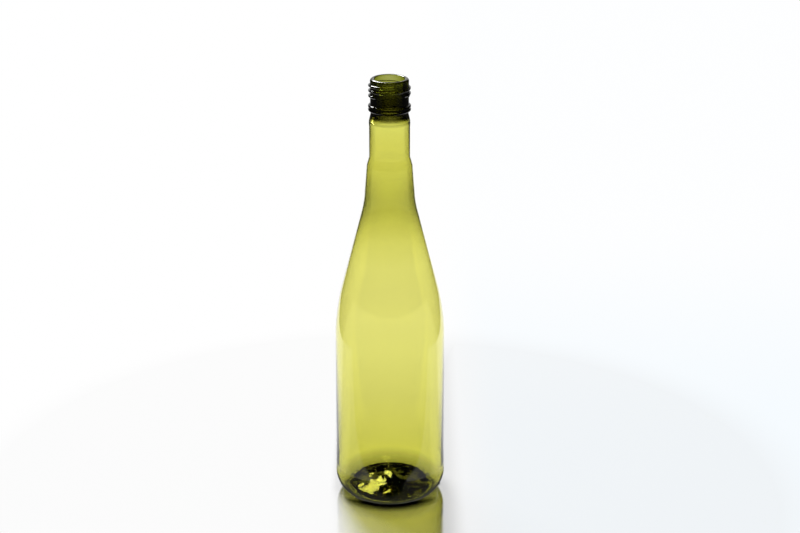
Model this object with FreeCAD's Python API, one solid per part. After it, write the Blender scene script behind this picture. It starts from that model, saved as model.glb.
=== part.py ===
import FreeCAD, Part
import math
import os
from collections import namedtuple

# A clear plastic wine bottle, blown in one piece from a moulded preform: a thick finish at
# the top, a slim neck with a step for a long screw-cap skirt, a sloping shoulder, a thin
# body, and a base pushed up inside a notched standing ring.
#
# Millimetres and degrees. The bottle stands on z = 0 with its axis on +Z. The finish and the
# neck are measured down from the lip and the base is measured up from the standing ring, so
# a taller bottle gets a longer body and keeps both ends as they are.

# ---- Whole bottle
overall_height = 295.0
body_diameter = 75.5
body_taper = 0.7              # how much slimmer the body is where the shoulder starts
body_wall = 0.4

# ---- Base
ring_inset = 8.05             # from the body's side in to the middle of the standing ring
ring_width = 2.4
ring_outer_rounding = 1.5
ring_inner_rounding = 2.5
ring_wall = 1.0
notch_count = 30
notch_width = 2.8
notch_depth = 0.45
push_up_height = 8.6
push_up_top_diameter = 13.0
push_up_rounding = 16.0
push_up_wall = 2.4
gate_diameter = 4.4           # the stub left where the preform was injected
gate_length = 0.8
heel_height = 5.5
heel_rounding = 16.0
heel_wall = 0.6

# ---- Shoulder and neck
shoulder_angle = 14.57        # slope of the cone, from the vertical
shoulder_rounding = 135.0
neck_length = 85.9            # from the lip down to where the shoulder cone ends
neck_foot_diameter = 34.8
neck_foot_rounding = 60.0
neck_foot_wall = 0.8          # stretched least in blowing, so thicker than the body
neck_top_diameter = 30.66
neck_wall = 0.6

# ---- Land that the cap's skirt covers
skirt_length = 53.6           # from the lip down to the step
skirt_land_diameter = 27.4
step_drop = 5.8
step_rounding = 3.0
swell_diameter = 27.7         # slight swelling where the blown neck meets the finish
swell_gap = 2.0               # from the flare under the finish down to the fullest point
swell_length = 2.7
swell_wall = 0.9

# ---- Finish
thread_root_diameter = 25.8
lip_rounding = 1.6
bead_drop = 17.5              # from the lip down to the top of the bead
bead_height = 4.3
bead_diameter = 28.4
bead_rounding = 0.9
bead_root_rounding = 0.3
bead_waist_depth = 0.25       # shallow waist round the middle of the bead
bead_waist_length = 1.6
bead_waist_rounding = 0.5
groove_diameter = 25.4
groove_length = 2.3           # from the bead down to the flare
flare_length = 4.3
flare_top_rounding = 4.0
flare_foot_rounding = 0.9
bore_diameter = 19.7
bore_edge_rounding = 1.35
bore_flare_length = 5.4       # from the bore's foot down to the full width of the neck
bore_foot_rounding = 2.0

# ---- Heights worked out from the sizes above
bead_top_height = overall_height - bead_drop
bead_foot_height = bead_top_height - bead_height
bead_waist_height = (bead_top_height + bead_foot_height) / 2
flare_top_height = bead_foot_height - groove_length
flare_foot_height = flare_top_height - flare_length
swell_height = flare_foot_height - swell_gap
bore_foot_height = swell_height + bore_flare_length
step_height = overall_height - skirt_length
neck_foot_height = overall_height - neck_length

# ---- Radii worked out from the sizes above
ring_radius = body_diameter / 2 - ring_inset
body_top_radius = (body_diameter - body_taper) / 2

# One corner of the bottle's half section: where it would be sharp, the radius that rounds
# it, and the wall behind it. A corner with no wall shapes the outside alone.
Corner = namedtuple("Corner", "radius height rounding wall", defaults=(0.0, None))


def base_corners():
    """Underside, from the axis out to the heel."""
    ring_inside = ring_radius - ring_width / 2
    ring_outside = ring_radius + ring_width / 2
    return [
        Corner(0, push_up_height, 0, push_up_wall),
        Corner(push_up_top_diameter / 2, push_up_height, push_up_rounding, push_up_wall),
        Corner(ring_inside, 0, ring_inner_rounding, ring_wall),
        Corner(ring_outside, 0, ring_outer_rounding, ring_wall),
        Corner(body_diameter / 2, heel_height, heel_rounding, heel_wall),
    ]


def body_corners():
    """Body, shoulder cone and neck, up to the foot of the step."""
    neck_foot = neck_foot_diameter / 2
    shoulder_rise = (body_top_radius - neck_foot) / math.tan(math.radians(shoulder_angle))
    shoulder_height = neck_foot_height - shoulder_rise
    return [
        Corner(body_top_radius, shoulder_height, shoulder_rounding, body_wall),
        Corner(neck_foot, neck_foot_height, neck_foot_rounding, neck_foot_wall),
        Corner(neck_top_diameter / 2, step_height - step_drop, step_rounding, neck_wall),
    ]


def skirt_land_corners():
    """From the top of the step to the swelling under the finish."""
    land = skirt_land_diameter / 2
    return [
        Corner(land, step_height, step_rounding, neck_wall),
        Corner(land, swell_height - swell_length, 4 * swell_length, swell_wall),
        Corner(swell_diameter / 2, swell_height, swell_length, swell_wall),
    ]


def finish_corners():
    """Flare, groove, bead, thread land and lip, then down the bore."""
    groove = groove_diameter / 2
    bead = bead_diameter / 2
    waist = bead - bead_waist_depth
    waist_reach = bead_waist_length / 2
    thread_root = thread_root_diameter / 2
    bore = bore_diameter / 2
    return [
        Corner(skirt_land_diameter / 2, flare_foot_height, flare_foot_rounding),
        Corner(groove, flare_top_height, flare_top_rounding),
        Corner(groove, bead_foot_height, bead_root_rounding),
        Corner(bead, bead_foot_height, bead_rounding),
        Corner(bead, bead_waist_height - waist_reach, bead_waist_rounding),
        Corner(waist, bead_waist_height, bead_waist_rounding),
        Corner(bead, bead_waist_height + waist_reach, bead_waist_rounding),
        Corner(bead, bead_top_height, bead_rounding),
        Corner(thread_root, bead_top_height, bead_root_rounding),
        Corner(thread_root, overall_height, lip_rounding),
        Corner(bore, overall_height, bore_edge_rounding),
        Corner(bore, bore_foot_height, bore_foot_rounding),
    ]


def direction(start, end):
    """Unit vector from one corner to the next, as (outward, upward)."""
    outward = end.radius - start.radius
    upward = end.height - start.height
    length = math.hypot(outward, upward)
    return outward / length, upward / length


def inner_corners(outer):
    """The outer corners moved in by their walls, with their roundings kept parallel."""
    inner = [Corner(0, outer[0].height + outer[0].wall)]
    for before, corner, after in zip(outer, outer[1:], outer[2:]):
        if corner.wall is None:
            break
        out_a, up_a = direction(before, corner)
        out_b, up_b = direction(corner, after)
        spread = corner.wall / (1 + out_a * out_b + up_a * up_b)
        turns_inward = out_a * up_b - up_a * out_b > 0
        rounding = corner.rounding + (-corner.wall if turns_inward else corner.wall)
        inner.append(Corner(
            corner.radius - (up_a + up_b) * spread,
            corner.height + (out_a + out_b) * spread,
            max(rounding, 0.0),
        ))
    return inner


def arc_reaches(points, roundings):
    """Half of the turn at each point, and how far its arc reaches along both its runs."""
    half_turns = [0.0] * len(points)
    reaches = [0.0] * len(points)
    for i in range(1, len(points) - 1):
        turn = (points[i] - points[i - 1]).getAngle(points[i + 1] - points[i])
        half_turns[i] = turn / 2
        reaches[i] = roundings[i] * math.tan(half_turns[i])
    for i in range(len(points) - 1):
        wanted = reaches[i] + reaches[i + 1]
        run = 0.98 * points[i].distanceToPoint(points[i + 1])
        if wanted > run:
            reaches[i] *= run / wanted
            reaches[i + 1] *= run / wanted
    return half_turns, reaches


def rounded_path(corners):
    """Straight edges through the corners, joined by tangent arcs that fit between them."""
    points = [FreeCAD.Vector(corner.radius, 0, corner.height) for corner in corners]
    half_turns, reaches = arc_reaches(points, [corner.rounding for corner in corners])
    edges = []
    start = points[0]
    for i in range(1, len(points) - 1):
        if reaches[i] < 1e-3:
            edges.append(Part.LineSegment(start, points[i]).toShape())
            start = points[i]
            continue
        back = (points[i - 1] - points[i]).normalize()
        ahead = (points[i + 1] - points[i]).normalize()
        inward = (back + ahead).normalize()
        radius = reaches[i] / math.tan(half_turns[i])
        entry = points[i] + back * reaches[i]
        middle = points[i] + inward * (radius / math.cos(half_turns[i]) - radius)
        leave = points[i] + ahead * reaches[i]
        edges.append(Part.LineSegment(start, entry).toShape())
        edges.append(Part.Arc(entry, middle, leave).toShape())
        start = leave
    edges.append(Part.LineSegment(start, points[-1]).toShape())
    return edges


def blown_shell():
    """The whole wall, turned from one closed half section."""
    outer = base_corners() + body_corners() + skirt_land_corners() + finish_corners()
    section = outer + inner_corners(outer)[::-1]
    axis = Part.LineSegment(
        FreeCAD.Vector(0, 0, section[-1].height),
        FreeCAD.Vector(0, 0, section[0].height),
    ).toShape()
    face = Part.Face(Part.Wire(rounded_path(section) + [axis]))
    return face.revolve(FreeCAD.Vector(0, 0, 0), FreeCAD.Vector(0, 0, 1), 360)


def gate():
    """Stub of the preform's gate, under the middle of the push-up."""
    base = FreeCAD.Vector(0, 0, push_up_height - gate_length)
    return Part.makeCylinder(gate_diameter / 2, gate_length + push_up_wall / 2, base)


def ring_notches():
    """Round-bottomed radial grooves that break the standing ring into lugs."""
    groove_radius = (notch_width ** 2 / 4 + notch_depth ** 2) / (2 * notch_depth)
    length = 4 * ring_width
    start = FreeCAD.Vector(ring_radius - length / 2, 0, notch_depth - groove_radius)
    groove = Part.makeCylinder(groove_radius, length, start, FreeCAD.Vector(1, 0, 0))
    grooves = []
    for i in range(notch_count):
        turned = groove.copy()
        turned.rotate(FreeCAD.Vector(0, 0, 0), FreeCAD.Vector(0, 0, 1), 360 * i / notch_count)
        grooves.append(turned)
    return Part.makeCompound(grooves)


def bottle():
    return blown_shell().fuse(gate()).cut(ring_notches()).Solids[0]


os.makedirs("parts", exist_ok=True)
shape = bottle()
shape.exportStep("parts/bottle.step")
print("bottle:", len(shape.Faces), "faces, valid:", shape.isValid())
print("plastic:", round(shape.Volume / 1000, 3), "cm3")
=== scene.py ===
# %% [markdown]
# # An empty plastic wine bottle
# A wine bottle of clear, yellow-green PET is one moulding. A short thick tube, the preform,
# is injected first. It is then warmed, stretched and blown out against a cold mould. What
# the mould does not stretch stays as thick as the preform: the finish with its thread, and
# the middle of the base. The rest becomes a wall thinner than half a millimetre.
#
# The lesson builds it the same way round: one half section with its true walls, turned
# round the axis, then the details that are not round, and at last a plastic that is
# darker wherever more of it is left, and in places darker still as painted shade.

# %% Load the frame
import math
from collections import namedtuple

import bmesh
import bpy
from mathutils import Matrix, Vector, noise


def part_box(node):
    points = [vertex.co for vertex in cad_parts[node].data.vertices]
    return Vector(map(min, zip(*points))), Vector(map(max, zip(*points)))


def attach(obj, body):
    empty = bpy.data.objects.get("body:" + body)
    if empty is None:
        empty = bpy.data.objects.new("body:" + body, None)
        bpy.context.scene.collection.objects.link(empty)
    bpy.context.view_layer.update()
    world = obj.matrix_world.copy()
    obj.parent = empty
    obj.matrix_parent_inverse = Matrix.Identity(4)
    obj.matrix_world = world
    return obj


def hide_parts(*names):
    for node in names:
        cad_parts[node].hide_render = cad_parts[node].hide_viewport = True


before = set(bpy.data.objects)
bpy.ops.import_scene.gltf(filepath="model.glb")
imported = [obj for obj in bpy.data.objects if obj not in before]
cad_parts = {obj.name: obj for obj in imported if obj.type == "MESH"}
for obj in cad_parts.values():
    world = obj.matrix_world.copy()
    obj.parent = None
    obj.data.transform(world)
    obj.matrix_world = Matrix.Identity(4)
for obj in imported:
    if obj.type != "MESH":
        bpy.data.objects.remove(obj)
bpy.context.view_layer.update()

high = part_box("bottle")[1]
MILLIMETRE = 0.001
lip = high.z / MILLIMETRE
body_radius = min(high.x, high.y) / MILLIMETRE
print("the lip is at", round(lip, 2), "mm, the body's radius is", round(body_radius, 2), "mm")

# %% [markdown]
# ## The camera
# A bottle is drawn in proportion when the camera stands well back and a long lens fills
# the view. This one looks down by about twenty degrees, so that the ring of the base and
# the mouth both open into ellipses.

# %% Camera
CAMERA_PLACE = (0.0069, -1.2908, 0.62635)
CAMERA_TILT = 19.72
CAMERA_LENS = 90.96

camera_data = bpy.data.cameras.new("camera")
camera_data.lens = CAMERA_LENS
camera = bpy.data.objects.new("camera", camera_data)
camera.location = CAMERA_PLACE
camera.rotation_euler = (math.radians(90 - CAMERA_TILT), 0, 0)
bpy.context.scene.collection.objects.link(camera)
bpy.context.scene.camera = camera
bpy.context.scene.view_settings.view_transform = "Standard"
print("the camera stands", round(Vector(CAMERA_PLACE).length, 2), "m away")

# %% [markdown]
# ## The outside, as corners
# The bottle is round, so half of its section says nearly everything. It is kept as a short
# list of sharp corners, in millimetres, each with the radius that rounds it off, the wall
# behind it, and how many segments its arc needs. That is how a drawing of a bottle is
# dimensioned, and it is easier to correct than a hundred points of a curve.
#
# The underside comes first. A thin flat skin could not carry the wine, so the middle is
# pushed up into the bottle and the bottle stands on a narrow ring.

# %% Base and body
Corner = namedtuple("Corner", "radius height rounding wall segments", defaults=(0.0, None, 6))

PUSH_UP_HEIGHT = 8.6
PUSH_UP_FLAT = 6.5
GATE_RADIUS = 2.2
GATE_LENGTH = 0.8
RING_INSET = 8.05
RING_MIDDLE = body_radius - RING_INSET
RING_WIDTH = 2.4
SKIRT_LAND = 13.7

gate = [
    Corner(0, PUSH_UP_HEIGHT - GATE_LENGTH),
    Corner(GATE_RADIUS, PUSH_UP_HEIGHT - GATE_LENGTH, 0.3, None, 3),
    Corner(GATE_RADIUS, PUSH_UP_HEIGHT, 0.3, None, 3),
]
base = [
    Corner(0, PUSH_UP_HEIGHT, 0, 2.4),
    Corner(PUSH_UP_FLAT, PUSH_UP_HEIGHT, 16.0, 2.4, 8),
    Corner(RING_MIDDLE - RING_WIDTH / 2, 0, 2.5, 1.0),
    Corner(RING_MIDDLE + RING_WIDTH / 2, 0, 1.5, 1.0, 4),
    Corner(body_radius, 5.5, 16.0, 0.6, 16),
]
body = [
    Corner(body_radius - 0.35, 132.15, 135.0, 0.4, 14),
    Corner(17.4, lip - 85.9, 60.0, 0.8, 10),
    Corner(15.33, lip - 59.4, 3.0, 0.6, 5),
    Corner(SKIRT_LAND, lip - 53.6, 3.0, 0.6, 5),
]
print(len(base) + len(body), "corners from the base to the step in the neck")

# %% [markdown]
# The finish is what the cap grips. It is never blown, so its outside was cut straight into
# the preform's mould: a flare, a groove, the bead that holds the cap's lower ring, and the
# land that carries the thread. From the lip the outline turns down into the bore. The
# corners without a wall shape the outside alone, because here the bore shapes the inside.

# %% Finish
BEAD_TOP = lip - 17.5
BEAD_FOOT = BEAD_TOP - 4.3
BEAD_MIDDLE = (BEAD_TOP + BEAD_FOOT) / 2
FLARE_TOP = BEAD_FOOT - 2.3
FLARE_FOOT = FLARE_TOP - 4.3
SWELL = FLARE_FOOT - 2.0
BORE_FOOT = SWELL + 5.4
GROOVE = 12.7
BEAD = 14.2
BEAD_WAIST = 13.95
WAIST_REACH = 0.8
THREAD_ROOT = 12.9
BORE = 9.85

finish = [
    Corner(SKIRT_LAND, SWELL - 2.7, 10.8, 0.9, 3),
    Corner(13.85, SWELL, 2.7, 0.9, 5),
    Corner(SKIRT_LAND, FLARE_FOOT, 0.9, None, 4),
    Corner(GROOVE, FLARE_TOP, 4.0, None, 6),
    Corner(GROOVE, BEAD_FOOT, 0.3, None, 3),
    Corner(BEAD, BEAD_FOOT, 0.9, None, 6),
    Corner(BEAD, BEAD_MIDDLE - WAIST_REACH, 0.5, None, 3),
    Corner(BEAD_WAIST, BEAD_MIDDLE, 0.5, None, 3),
    Corner(BEAD, BEAD_MIDDLE + WAIST_REACH, 0.5, None, 3),
    Corner(BEAD, BEAD_TOP, 0.9, None, 6),
    Corner(THREAD_ROOT, BEAD_TOP, 0.3, None, 3),
    Corner(THREAD_ROOT, lip, 1.6, None, 9),
    Corner(BORE, lip, 1.35, None, 8),
    Corner(BORE, BORE_FOOT, 2.0, None, 6),
]
print("the finish starts", round(lip - SWELL, 1), "mm under the lip")

# %% [markdown]
# ## The inside
# The inside follows the outside at the distance of the wall, and the wall changes slowly
# from corner to corner. Each corner is moved in along the line that halves its angle. A
# rounding shrinks by the wall where the outline bulges and grows by it where it is hollow,
# so both sides of the wall stay parallel.

# %% Corners of the inside
def direction(start, end):
    """Which way the outline runs from one corner to the next."""
    return Vector((end.radius - start.radius, end.height - start.height)).normalized()


def inner_corners(outside):
    """The corners moved in by their walls, as far as the walls are given."""
    inside = [Corner(0, outside[0].height + outside[0].wall)]
    for before, corner, after in zip(outside, outside[1:], outside[2:]):
        if corner.wall is None:
            break
        a = direction(before, corner)
        b = direction(corner, after)
        spread = corner.wall / (1 + a.dot(b))
        bulges = a.x * b.y - a.y * b.x > 0
        rounding = corner.rounding + (-corner.wall if bulges else corner.wall)
        inside.append(Corner(
            corner.radius - (a.y + b.y) * spread,
            corner.height + (a.x + b.x) * spread,
            max(rounding, 0.0), None, corner.segments,
        ))
    return inside


outside = base + body + finish
inside = inner_corners(outside)
print("the inside has", len(inside), "corners")

# %% [markdown]
# One stretch does not follow the outside. The middle of the base cools last, so its upper
# side flows level: a low hill is left over the gate, then a flat terrace, and only near the
# ring does it fall as steeply as the underside.

# %% Upper side of the push-up
plate_top = [
    Corner(0, 10.5),
    Corner(2.0, 10.5, 6.0),
    Corner(6.0, 9.4, 8.0, None, 4),
    Corner(14.5, 7.9, 12.0, None, 6),
    Corner(26.6, 3.3, 2.0, None, 4),
]
section = gate + outside[1:] + (plate_top + inside[2:])[::-1]
print("the section has", len(section), "corners")

# %% [markdown]
# ## The section as an outline
# A bevel on single vertices rounds each corner. Blender's bevel needs a face to work on,
# so the corners are filled first, and only the edges are kept afterwards. No arc may take
# more than nearly all of the run beside it, or two arcs would overlap.

# %% Round the corners
MOST_OF_RUN = 0.95

bm = bmesh.new()
sharp = [bm.verts.new((corner.radius, 0, corner.height)) for corner in section]
bm.faces.new(sharp)
for i, (vert, corner) in enumerate(zip(sharp, section)):
    if corner.rounding < 0.05 or corner.radius == 0:
        continue
    before = Vector(section[i - 1][:2])
    here = Vector(corner[:2])
    after = Vector(section[(i + 1) % len(section)][:2])
    turn = (here - before).angle(after - here)
    reach = corner.rounding * math.tan(turn / 2)
    reach = min(reach, MOST_OF_RUN * (here - before).length, MOST_OF_RUN * (after - here).length)
    bmesh.ops.bevel(bm, geom=[vert], affect="VERTICES", offset=reach, offset_type="OFFSET",
                    segments=corner.segments, profile=0.5, material=-1, clamp_overlap=False)

bmesh.ops.delete(bm, geom=bm.faces[:], context="FACES_ONLY")
on_axis = [edge for edge in bm.edges if max(abs(vert.co.x) for vert in edge.verts) < 1e-4]
bmesh.ops.delete(bm, geom=on_axis, context="EDGES")
print("the outline has", len(bm.verts), "points")

# %% [markdown]
# Three stretches need more points than their shape asks for, because something finer is
# pressed into them later: the land under the thread, the ring under the notches, and the
# top of the push-up. Each edge to cut is the longest one in its own neighbourhood, so it
# is found by tests on where its ends are. The body is also cut near its foot, where the
# two halves of the mould's side meet the base plate and leave a fine raised line.

# %% More points where details follow
PARTING_HEIGHT = 19.6
PARTING_WIDTH = 0.7
PARTING_RISE = 0.03
UNDERSIDE_FALL = 0.39


def longest_edge(*tests):
    """The longest edge of the outline whose two ends pass every test."""
    edges = [e for e in bm.edges if all(test(vert.co) for test in tests for vert in e.verts)]
    return max(edges, key=lambda edge: edge.calc_length())


def on_terrace(co):
    """Whether a point is on the push-up's upper side, not under it."""
    underside = PUSH_UP_HEIGHT - UNDERSIDE_FALL * (co.x - PUSH_UP_FLAT)
    return 1.5 < co.z < 10 and 6 < co.x < RING_MIDDLE and co.z > underside + 0.3


land = longest_edge(lambda co: co.z > BEAD_TOP, lambda co: co.x > THREAD_ROOT - 0.2)
ring = longest_edge(lambda co: co.z < 0.02)
terrace = longest_edge(on_terrace, lambda co: co.x < 14)
slope = longest_edge(on_terrace, lambda co: 13 < co.x < 27)
for edge, cuts in ((land, 64), (ring, 3), (terrace, 8), (slope, 10)):
    bmesh.ops.subdivide_edges(bm, edges=[edge], cuts=cuts)
for step in (-1, 0, 1):
    bmesh.ops.bisect_plane(bm, geom=bm.verts[:] + bm.edges[:],
                           plane_co=(0, 0, PARTING_HEIGHT + step * PARTING_WIDTH / 2),
                           plane_no=(0, 0, 1))
for vert in bm.verts:
    if abs(vert.co.z - PARTING_HEIGHT) < 0.01 and vert.co.x > body_radius - 0.3:
        vert.co.x += PARTING_RISE
print("the outline has", len(bm.verts), "points")

# %% [markdown]
# ## Turning it
# A full turn of the outline gives the closed wall, inside and outside at once. The points
# on the axis come out once for each step, so they are merged, and then the normals are
# made to point out of the plastic. They must, because the shader reads from them whether
# light goes into the plastic or out of it.

# %% Spin
STEPS = 270
bmesh.ops.spin(bm, geom=bm.verts[:] + bm.edges[:], axis=(0, 0, 1), cent=(0, 0, 0),
               angle=2 * math.pi, steps=STEPS, use_merge=True)
bmesh.ops.remove_doubles(bm, verts=bm.verts[:], dist=1e-4)
bmesh.ops.recalc_face_normals(bm, faces=bm.faces[:])
bm.normal_update()
print("turned:", len(bm.faces), "faces, closed:", all(edge.is_manifold for edge in bm.edges))

# %% [markdown]
# ## The thread
# A screw cap for wine is rolled onto the bottle, so its thread is low and round: not quite
# three turns of ridge, level at the foot and then rising, fading in and out. The lowest
# turn is left out at the front, where it would cross the parting of the finish's mould. A
# thread could be swept along a helix and joined on, but the land already has fine rows of
# points, so pushing them outwards gives the ridge without a seam.
#
# The angles count on over 360 degrees as the thread climbs, so one number says both how
# far round and how far up a place is.

# %% Where the thread runs
PITCH = 3.5
RIDGE = 1.15
RIDGE_FOOT = 1.1
RIDGE_FLANK = 0.75
THREAD_MIDDLE = lip - 8.1
THREAD_FOOT = lip - 11.6
FIRST_ANGLE = -380
LAST_ANGLE = 650
FADE_IN = 40
FADE_OUT = 14
GAP_START = -155
GAP_END = -20
GAP_FADE = 30


def smooth(share):
    """A soft step from 0 to 1."""
    share = min(max(share, 0.0), 1.0)
    return share * share * (3 - 2 * share)


def ridge_share(turned):
    """How much of the ridge there is at this many degrees along the thread."""
    ends = smooth((LAST_ANGLE - turned) / FADE_OUT) * smooth((turned - FIRST_ANGLE) / FADE_IN)
    if GAP_START < turned < GAP_END:
        into_gap = smooth((GAP_START + GAP_FADE - turned) / GAP_FADE)
        out_of_gap = smooth((turned - GAP_END + GAP_FADE) / GAP_FADE)
        ends *= max(into_gap, out_of_gap)
    return ends


def thread_lift(angle, height):
    """How far the ridge stands out at this place on the land."""
    lift = 0.0
    for turn in (-2, -1, 0, 1):
        turned = angle + 360 * turn
        crest = max(THREAD_MIDDLE + PITCH * (turned - 180) / 360, THREAD_FOOT)
        flank = smooth((RIDGE_FOOT - abs(height - crest)) / RIDGE_FLANK)
        lift = max(lift, RIDGE * ridge_share(turned) * flank)
    return lift


print("the thread runs", round((LAST_ANGLE - FIRST_ANGLE) / 360, 2), "turns")

# %% Push the thread out
for vert in bm.verts:
    radius = vert.co.xy.length
    if radius < THREAD_ROOT - 0.05 or not BEAD_TOP + 0.35 < vert.co.z < lip - 1.0:
        continue
    angle = math.degrees(math.atan2(vert.co.y, vert.co.x)) % 360
    vert.co.xy *= 1 + thread_lift(angle, vert.co.z) / radius
print("thread", round(max(v.co.xy.length for v in bm.verts if v.co.z > BEAD_TOP), 2), "mm in radius")

# %% [markdown]
# ## The standing ring
# A full ring would trap air and slide on a wet belt, so thirty shallow grooves break it
# into lugs. A Boolean could cut them, but it would leave long thin faces, and in clear
# plastic those show. Each groove is the top of a small cylinder, so the points that would be
# inside it are lifted onto its roof instead.

# %% Notches
NOTCHES = 30
NOTCH_WIDTH = 2.8
NOTCH_DEPTH = 0.45
NOTCH_RADIUS = (NOTCH_WIDTH ** 2 / 4 + NOTCH_DEPTH ** 2) / (2 * NOTCH_DEPTH)
step = 2 * math.pi / NOTCHES
for vert in bm.verts:
    radius = vert.co.xy.length
    if vert.co.z > NOTCH_DEPTH or not 20 < radius < 35:
        continue
    angle = math.atan2(vert.co.y, vert.co.x)
    across = radius * math.sin((angle + step / 2) % step - step / 2)
    if abs(across) < NOTCH_RADIUS:
        roof = NOTCH_DEPTH - NOTCH_RADIUS + math.sqrt(NOTCH_RADIUS ** 2 - across ** 2)
        vert.co.z = max(vert.co.z, roof)
print(NOTCHES, "notches,", NOTCH_WIDTH, "mm wide and", NOTCH_DEPTH, "mm deep")

# %% [markdown]
# ## The uneven plate
# The middle of the base hardly stretches and cools last, so nothing presses its upper side
# flat. It stays lumpy, and it is these lumps that break a lamp's reflection down in the
# bottle into separate bright patches. Smooth noise in two sizes moves the points of that
# side up and down, and the noise fades out towards the ring.

# %% Lumps on the push-up
LUMP_SIZE = 8.0
LUMP_HEIGHT = 0.6
LUMP_PLACE = Vector((3.1, 7.7, 0.0))
FINER = 2.3
FINER_SHARE = 0.4
lumpy = 0
for vert in bm.verts:
    radius = vert.co.xy.length
    if radius > RING_MIDDLE or vert.co.z > 14 or vert.normal.z < 0.3:
        continue
    fade = smooth((RING_MIDDLE - 2 - radius) / 8)
    coarse = noise.noise(vert.co / LUMP_SIZE + LUMP_PLACE)
    fine = noise.noise(vert.co / LUMP_SIZE * FINER)
    vert.co.z += LUMP_HEIGHT * fade * (coarse + FINER_SHARE * fine)
    lumpy += 1
print(lumpy, "points moved into lumps of about", LUMP_SIZE, "mm")

# %% [markdown]
# ## From millimetres to the scene
# The drawing was in millimetres and the scene is in metres, so the mesh is scaled before it
# becomes an object. The object itself stays unscaled at the origin, and the pattern on the
# plastic stays where it is put. Smooth shading hides the facets of the turning.

# %% Make the object
bmesh.ops.scale(bm, vec=(MILLIMETRE, MILLIMETRE, MILLIMETRE), verts=bm.verts[:])
mesh = bpy.data.meshes.new("clear_bottle")
bm.to_mesh(mesh)
bm.free()
mesh.shade_smooth()

bottle = bpy.data.objects.new("clear_bottle", mesh)
bpy.context.scene.collection.objects.link(bottle)
print("triangles:", sum(len(face.vertices) - 2 for face in mesh.polygons))

# %% [markdown]
# ## Writing shaders as sums
# The plastic's colour is worked out from heights and distances. Sums read best as sums, so
# a small class wraps a socket and turns Python's operators into Math nodes. Its ramp is a
# Map Range node that goes softly from one value to another. A second class holds the node
# tree and adds every other kind of node.

# %% Sums on sockets
class Value:
    """One output socket, on which sums can be written."""

    def __init__(self, shader, socket):
        self.shader = shader
        self.socket = socket

    def math(self, operation, *others):
        values = dict(enumerate((self,) + others))
        return self.shader.add("ShaderNodeMath", {"operation": operation}, values)[0]

    def __add__(self, other):
        return self.math("ADD", other)

    def __radd__(self, other):
        return self.math("ADD", other)

    def __sub__(self, other):
        return self.math("SUBTRACT", other)

    def __rsub__(self, other):
        return (self * -1).math("ADD", other)

    def __mul__(self, other):
        return self.math("MULTIPLY", other)

    def __rmul__(self, other):
        return self.math("MULTIPLY", other)

    def ramp(self, start, end, first, last):
        """A soft change from first to last while this value goes from start to end."""
        values = {0: self, 1: start, 2: end, 3: first, 4: last}
        return self.shader.add("ShaderNodeMapRange", {"interpolation_type": "SMOOTHSTEP"}, values)[0]


class Shader:
    """The node tree of a material or the world, started empty."""

    def __init__(self, owner):
        owner.use_nodes = True
        self.tree = owner.node_tree
        self.tree.nodes.clear()

    def add(self, kind, settings=None, values=None):
        node = self.tree.nodes.new(kind)
        for name, value in (settings or {}).items():
            if name == "stops":
                stops = node.color_ramp.elements
                while len(stops) < len(value):
                    stops.new(0.5)
                for stop, (place, colour) in zip(stops, value):
                    stop.position = place
                    stop.color = (*colour, 1)
            else:
                setattr(node, name, value)
        for name, value in (values or {}).items():
            if isinstance(value, Value):
                self.tree.links.new(value.socket, node.inputs[name])
            else:
                node.inputs[name].default_value = value
        return [Value(self, socket) for socket in node.outputs]

    def place(self):
        """The point's own x, y and z on the object, in metres."""
        coordinates = self.add("ShaderNodeTexCoord")[3]
        return [coordinates] + self.add("ShaderNodeSeparateXYZ", {}, {0: coordinates})


def new_shader(name):
    material = bpy.data.materials.new(name)
    return material, Shader(material)


print("sums on sockets are ready")

# %% [markdown]
# ## The tint
# Clear plastic colours light twice here. The volume absorbs more the further light runs in
# it, which darkens the edges of the neck by itself. But the real plastic is also left
# unevenly: thick at the finish, at the foot of the neck and near the base, and thin
# between. A colour ramp over the height, from the table at 0 to the lip at 1, gives the
# surface a deeper tint at those places. At the heel and on the finish that tint is also
# partly painted shade: it is darker than the thicker plastic alone would be, and stands in
# for the unlit table under the bottle and for the dark room the finish bends its light towards.

# %% Tint along the side
plastic, shader = new_shader("clear_plastic")
point, x, y, z = shader.place()
away = (x * x + y * y).math("SQRT")
share = z * (1 / (lip * MILLIMETRE))
# The heel's stops (0 to 0.018) and the finish's (0.912 to 0.976) are partly painted shade, darker than the
# plastic alone.
SIDE_TINTS_AND_SHADE = [
    (0.000, (0.36, 0.37, 0.13)),
    (0.018, (0.62, 0.62, 0.23)),
    (0.036, (0.91, 0.905, 0.32)),
    (0.090, (0.91, 0.905, 0.36)),
    (0.180, (0.88, 0.87, 0.42)),
    (0.300, (0.96, 0.95, 0.48)),
    (0.450, (0.955, 0.94, 0.507)),
    (0.580, (1.0, 0.99, 0.52)),
    (0.670, (0.86, 0.855, 0.35)),
    (0.710, (0.785, 0.785, 0.29)),
    (0.790, (0.86, 0.853, 0.35)),
    (0.860, (0.90, 0.893, 0.405)),
    (0.906, (0.96, 0.97, 0.50)),
    (0.912, (0.15, 0.15, 0.060)),
    (0.950, (0.16, 0.16, 0.065)),
    (0.976, (0.32, 0.34, 0.13)),
]
side_tint_and_shade = shader.add("ShaderNodeValToRGB", {"stops": SIDE_TINTS_AND_SHADE}, {0: share})[0]
print(len(SIDE_TINTS_AND_SHADE), "stops of tint along the side")

# %% [markdown]
# Three places do not go by height alone. The plate inside the ring is far thicker than the
# heel beside it, and in the mouth light crosses only one side of the lip, so each is picked
# out by its height and its distance from the axis. The plate's deep tint is also partly
# painted shade, for the unlit table under the bottle. At the foot of the neck the sides are
# deeper than the middle. Layer Weight's Facing says how far a surface turns away from the
# eye, and so how long the light's way through the wall is.

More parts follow.
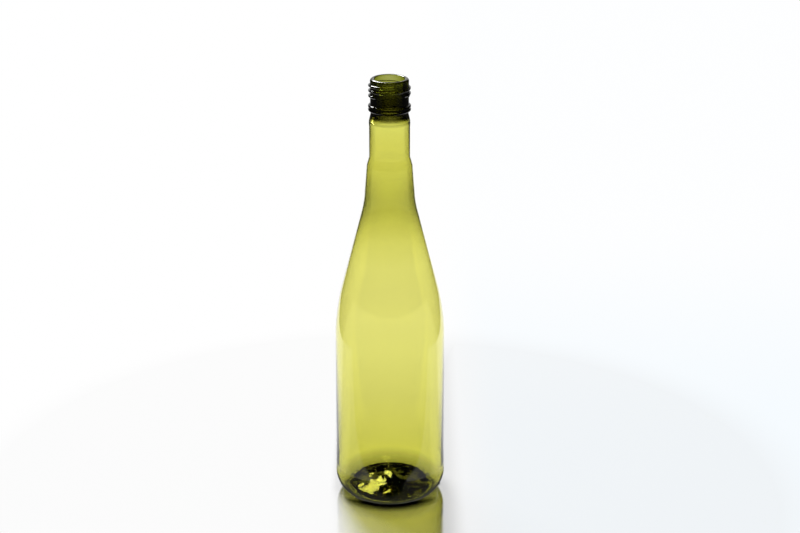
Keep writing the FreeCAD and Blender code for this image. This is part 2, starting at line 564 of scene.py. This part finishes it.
# %% Tints of the plate, the mouth and the foot of the neck
# The plate's tint is partly painted shade, for the unlit table under the bottle.
PLATE_TINT_AND_SHADE = (0.16, 0.16, 0.05, 1)
MOUTH_TINT = (0.75, 0.80, 0.35, 1)
NECK_FOOT_TINT = (0.40, 0.41, 0.28, 1)


def tinted(part, old_tint, new_tint):
    """The old tint, with this part of it changed for the new one."""
    return shader.add("ShaderNodeMix", {"data_type": "RGBA"}, {0: part, 6: old_tint, 7: new_tint})[2]


facing = shader.add("ShaderNodeLayerWeight", {}, {"Blend": 0.5})[1]
on_plate = z.ramp(0.012, 0.016, 1, 0) * away.ramp(0.0265, 0.0300, 1, 0)
in_mouth = z.ramp(0.286, 0.290, 0, 1) * away.ramp(0.0104, 0.0112, 1, 0)
on_neck_foot = facing * z.ramp(0.185, 0.207, 0, 1) * z.ramp(0.211, 0.235, 1, 0)
tint = tinted(on_plate, side_tint_and_shade, PLATE_TINT_AND_SHADE)
tint = tinted(in_mouth, tint, MOUTH_TINT)
tint = tinted(on_neck_foot, tint, NECK_FOOT_TINT)
print("three places have a tint of their own")

# %% [markdown]
# At the sides of the finish light runs through nothing but plastic. A power of the tint
# stands for the longer way there: the more the surface turns away, the deeper. It counts
# only in the thick finish. It goes further than the longer way alone, so it is partly
# painted shade too, for the dark room that the finish's sides bend their light towards.

# %% Deeper where the finish turns away
GLANCING_DEPTH_AND_SHADE = 3.5
# Partly painted shade: the finish's sides are darkened beyond what the longer way gives.
deeper_and_shaded = 1 + facing * z.ramp(0.266, 0.270, 0, GLANCING_DEPTH_AND_SHADE)
colour = shader.add("ShaderNodeGamma", {}, {"Color": tint, "Gamma": deeper_and_shaded})[0]
print("the tint's power grows up to", 1 + GLANCING_DEPTH_AND_SHADE)

# %% [markdown]
# ## The surface
# Moulds for bottles are polished, so the plastic is glossy. It is not perfect: the blown
# wall waves a little, and the waves are drawn out along the bottle as the plastic was. The
# ring and the heel are scuffed from the belt, and caps have dulled the lip. A Bump node
# gives the waves and fine noise gives the scuffs. Dents in the mesh would give waves too,
# but they would need many more points.

# %% Waves and scuffs
WAVES_EACH_METRE = (60, 60, 7)
SCUFFS_EACH_METRE = 900.0
POLISHED_ROUGHNESS = 0.02
DULLED_LIP = 0.12
DEEPEST_SCUFF = 0.20

stretched = shader.add("ShaderNodeMapping", {}, {0: point, "Scale": WAVES_EACH_METRE})[0]
waves = shader.add("ShaderNodeTexNoise", {}, {"Vector": stretched, "Scale": 1.0, "Detail": 1.0})[0]
bump = shader.add("ShaderNodeBump", {}, {"Height": waves, "Strength": 0.15, "Distance": 0.0004})[0]
scuffs = shader.add("ShaderNodeTexNoise", {}, {
    "Vector": point, "Scale": SCUFFS_EACH_METRE, "Detail": 4.0})[0]
worn = z.ramp(0.0, 0.006, 1, 0) * away.ramp(0.026, 0.029, 0, 1)
handled = z.ramp(0.2905, 0.2940, 0, DULLED_LIP)
roughness = POLISHED_ROUGHNESS + handled + worn * scuffs.ramp(0.35, 0.75, 0, DEEPEST_SCUFF)
print("roughness from", POLISHED_ROUGHNESS, "to", round(POLISHED_ROUGHNESS + DEEPEST_SCUFF, 2))

# %% [markdown]
# Principled in full transmission gives the two surfaces of the wall. A Volume Absorption
# node between them gives the colour of the plastic itself, which takes away blue first and
# so leaves yellow-green. The wall is modelled with its real thickness, so PET's own index
# of refraction can be used.

# %% Clear plastic
PET_INDEX = 1.57
ABSORPTION = 300.0
surface = shader.add("ShaderNodeBsdfPrincipled", {}, {
    "Base Color": colour, "Roughness": roughness, "IOR": PET_INDEX, "Transmission Weight": 1.0,
    "Normal": bump})[0]
absorbed = shader.add("ShaderNodeVolumeAbsorption", {}, {
    "Color": (0.70, 0.68, 0.17, 1), "Density": ABSORPTION})[0]
shader.add("ShaderNodeOutputMaterial", {}, {"Surface": surface, "Volume": absorbed})
bottle.data.materials.append(plastic)
print("clear plastic:", len(shader.tree.nodes), "nodes")

# %% [markdown]
# ## The table
# The bottle stands on a polished white table, lit from behind. Clear plastic shows little
# of itself and much of what is around it, so the table is told apart by who looks at it.
# Light Path says whether that is the camera, a reflection, or light that comes through the
# plastic. What each of them sees is a sum of masks over the table's x and y, in metres.

# %% Table top
TABLE_SIZE = 12
bpy.ops.mesh.primitive_plane_add(size=TABLE_SIZE)
table = bpy.context.object
table.name = "table"
table_finish, shader = new_shader("table")
x, y = shader.place()[1:3]
away = (x * x + y * y).math("SQRT")
aside = x.math("ABSOLUTE")
kinds = shader.add("ShaderNodeLightPath")
is_reflection, is_transmission = kinds[5], kinds[6]
print("the table is", TABLE_SIZE, "m wide")

# %% [markdown]
# Light that comes through the plastic sees plain white, but black under the bottle, where
# no light reaches. The black goes on in front, so that the thick plate stays dark, and it
# fades out from a hand's breadth away. A bright circle is left under the ring, where light
# creeps in at the notches. Beyond all this the table is white again, so that the bottle is
# lit from its sides too.
#
# The walls would also mirror the white close behind the bottle over the dark plate. Light
# on that way meets the table low, so low light finds that part of it black.

# %% What the plastic shows of the table
RING_GLOW = 0.7
FRONT_GLOW = 0.02
incoming = shader.add("ShaderNodeNewGeometry")[4]
ray_slope = shader.add("ShaderNodeSeparateXYZ", {}, {0: incoming})[2]
back = y + 0.0035
shadow_edge = y.ramp(-0.010, 0.020, 0.042, 0.0325)
unshaded = (x * x + back * back).math("SQRT").ramp(0.0300, shadow_edge, 0, 1)
unshaded = unshaded * y.ramp(-0.022, -0.004, FRONT_GLOW, 1).math("MAXIMUM", away.ramp(0.10, 0.35, 0, 1))
steep = y.ramp(0.10, 0.18, 0, 1).math("MAXIMUM", ray_slope.ramp(0.36, 0.40, 0, 1))
steep = steep.math("MAXIMUM", aside.ramp(0.05, 0.10, 0, 1))
in_reach = aside.ramp(0.31, 0.34, 1, 0.03)
under_ring = away.ramp(0.0280, 0.0287, 0, RING_GLOW) * away.ramp(0.0296, 0.0302, 1, 0)
beyond = away.ramp(0.15, 0.32, 0, 1) * y.ramp(0.10, 0.20, 1, 0)
seen_through = (unshaded * steep * in_reach + under_ring).math("MAXIMUM", beyond)
print("the circle under the ring glows at", RING_GLOW)

# %% [markdown]
# Reflections see a table that ends beside and in front of the bottle, which draws the two
# pale bands along its sides. What they see is painted light: a glow that grows brighter
# further behind, dimmed close to the bottle by painted shade.

# %% What reflections show of the table
DIMMEST = 0.03
table_top = (y - aside * 0.155).ramp(-0.096, -0.084, 0, 1) * aside.ramp(0.31, 0.34, 1, 0)
brighter_behind = (y - aside * 0.3).ramp(0.0, 0.06, 0.5, 1.15)
# Painted shade: the reflected table dims close to the bottle, as its contact shadow.
near = (away + y * 0.3).ramp(0.055, 0.068, 0.2, 1) * (aside + y).ramp(-0.045, -0.033, 0, 1)
mirrored = is_reflection * near * (table_top * brighter_behind + DIMMEST)
print("the table's dimmest reflection is", DIMMEST)

# %% [markdown]
# The camera sees a top that is part dull and part soft mirror. Under the heel in front the
# gap is too narrow for light, so a black contact is mixed in there. Beside the bottle and
# with distance the top bleaches to white. Where the white begins, softly on the left and
# sharply on the right, is a painted edge of the bottle's shadow. On the right the white is
# painted shade too: cooler and dimmer, for the shadow the softbox throws there.

# %% What the camera sees of the table
MIRROR_SHARE = 0.75
WHITE = (1, 1, 1, 1)
SHADOW_WHITE = (0.92, 0.965, 1, 1)
contact = away.ramp(0.033, 0.0445, 0, 1).math("MAXIMUM", y.ramp(-0.028, -0.016, 0, 1))
contact = contact.math("MAXIMUM", aside.ramp(0.024, 0.035, 0, 1))
dull = shader.add("ShaderNodeBsdfDiffuse", {}, {"Color": (0.9, 0.9, 0.9, 1)})[0]
mirror = shader.add("ShaderNodeBsdfGlossy", {}, {"Color": WHITE, "Roughness": 0.10})[0]
polished = shader.add("ShaderNodeMixShader", {}, {0: MIRROR_SHARE, 1: dull, 2: mirror})[0]
black = shader.add("ShaderNodeEmission", {}, {"Strength": 0.0})[0]
polished = shader.add("ShaderNodeMixShader", {}, {0: contact, 1: black, 2: polished})[0]

# Painted shade: a cooler, dimmer white to the right of the bottle.
right_shadow_share = x.ramp(0.03, 0.09, 0, 1) * y.ramp(0.05, 0.60, 1, 0.15)
shadow_white = shader.add("ShaderNodeMix", {"data_type": "RGBA"}, {0: right_shadow_share, 6: WHITE, 7: SHADOW_WHITE})[2]
white = shader.add("ShaderNodeEmission", {}, {"Color": shadow_white, "Strength": 1.0})[0]
# Painted shadow edges: soft on the left, sharp on the right.
left_shadow_edge = (x * -1).ramp((y * 0.4 + 0.038).math("MINIMUM", 0.036), 0.043, 0, 0.85)
right_shadow_edge = x.ramp(0.036, 0.054, 0, 0.72)
far = away.ramp(0.18, 0.32, 0, 1).math("MAXIMUM", left_shadow_edge).math("MAXIMUM", right_shadow_edge)
shown = shader.add("ShaderNodeMixShader", {}, {0: far, 1: polished, 2: white})[0]
print("the table is", MIRROR_SHARE, "mirror near the bottle")

# %% Put the table together
glow = is_transmission * seen_through + mirrored
lit = shader.add("ShaderNodeEmission", {}, {"Strength": glow})[0]
seen = shader.add("ShaderNodeMixShader", {}, {0: is_transmission + is_reflection, 1: shown, 2: lit})[0]
shader.add("ShaderNodeOutputMaterial", {}, {"Surface": seen})
table.data.materials.append(table_finish)
print("table:", len(shader.tree.nodes), "nodes")

# %% [markdown]
# ## The card
# A white sheet behind would also shine in the push-up, seen down through the bottle. A low
# black card bent round the back of the base keeps it out. It is spun from one upright edge
# and made lower towards its ends. Only light that goes up meets the card, so it isn't seen
# through the plastic, and it throws no shadow.

# %% Card
CARD_RADIUS = 0.042
CARD_HEIGHT = 0.036
CARD_REACH = math.radians(58)
card_mesh = bmesh.new()
foot = card_mesh.verts.new((CARD_RADIUS * math.sin(CARD_REACH), CARD_RADIUS * math.cos(CARD_REACH), 0.001))
head = card_mesh.verts.new(foot.co + Vector((0, 0, CARD_HEIGHT)))
edge = card_mesh.edges.new((foot, head))
bmesh.ops.spin(card_mesh, geom=[foot, head, edge], axis=(0, 0, 1), cent=(0, 0, 0),
               angle=2 * CARD_REACH, steps=48)
for vert in card_mesh.verts:
    vert.co.z *= (vert.co.y / CARD_RADIUS) ** 2
card_data = bpy.data.meshes.new("card")
card_mesh.to_mesh(card_data)
card_mesh.free()
card = bpy.data.objects.new("card", card_data)
bpy.context.scene.collection.objects.link(card)
print("the card is", round(card.dimensions.z * 1000), "mm high")

# %% Card's finish
card_finish, shader = new_shader("card")
incoming = shader.add("ShaderNodeNewGeometry")[4]
rising = shader.add("ShaderNodeSeparateXYZ", {}, {0: incoming})[2].math("LESS_THAN", -0.02)
is_shadow = shader.add("ShaderNodeLightPath")[1]
clear = shader.add("ShaderNodeBsdfTransparent")[0]
black = shader.add("ShaderNodeEmission", {}, {"Strength": 0.0})[0]
stopped = shader.add("ShaderNodeMixShader", {}, {0: rising * (1 - is_shadow), 1: clear, 2: black})[0]
shader.add("ShaderNodeOutputMaterial", {}, {"Surface": stopped})
card_data.materials.append(card_finish)
print("card:", len(shader.tree.nodes), "nodes")

# %% [markdown]
# ## The room
# Behind the table hangs a white sheet, and the rest of the room is dark. The camera itself
# sees only white. The plastic shows the sheet alone, so the rounded edges of the finish
# stay dark with a thin bright line. A trace of plain light reaches dull surfaces.

# %% Room
ROOM_LIGHT = 0.05
world = bpy.data.worlds.new("room")
bpy.context.scene.world = world
shader = Shader(world)
kinds = shader.add("ShaderNodeLightPath")
is_camera, is_diffuse, is_reflection, is_transmission = kinds[0], kinds[2], kinds[5], kinds[6]
way = shader.add("ShaderNodeTexCoord")[0]
wx, wy, wz = shader.add("ShaderNodeSeparateXYZ", {}, {0: way})
sheet = wz.ramp(0.58, 0.68, 1, 0) * wy.ramp(0.50, 0.65, 0, 1) * wx.math("ABSOLUTE").ramp(0.30, 0.45, 1, 0)
strength = is_camera + (is_transmission + is_reflection) * sheet + is_diffuse * ROOM_LIGHT
shine = shader.add("ShaderNodeBackground", {}, {"Strength": strength})[0]
shader.add("ShaderNodeOutputWorld", {}, {"Surface": shine})
print("room:", len(shader.tree.nodes), "nodes")

# %% [markdown]
# ## The lamp
# One square softbox stands behind the bottle on the left. It gives the small highlights on
# the thread and the patches on the push-up. A wide lamp gives reflections with a size and
# an edge, where a bare bulb would give only points.

# %% Softbox
SOFTBOX_PLACE = Vector((-0.467, 0.917, 1.226))
SOFTBOX_AIM = Vector((0, 0, 0.1))
SOFTBOX_SIZE = 0.7
SOFTBOX_POWER = 24
softbox_data = bpy.data.lights.new("softbox", "AREA")
softbox_data.shape = "SQUARE"
softbox_data.size = SOFTBOX_SIZE
softbox_data.energy = SOFTBOX_POWER
softbox = bpy.data.objects.new("softbox", softbox_data)
softbox.location = SOFTBOX_PLACE
softbox.rotation_euler = (SOFTBOX_AIM - SOFTBOX_PLACE).to_track_quat("-Z", "Y").to_euler()
bpy.context.scene.collection.objects.link(softbox)
print("the softbox hangs", round((SOFTBOX_AIM - SOFTBOX_PLACE).length, 2), "m away")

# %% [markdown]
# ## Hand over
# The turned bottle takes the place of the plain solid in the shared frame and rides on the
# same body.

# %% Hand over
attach(bottle, "root")
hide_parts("bottle")
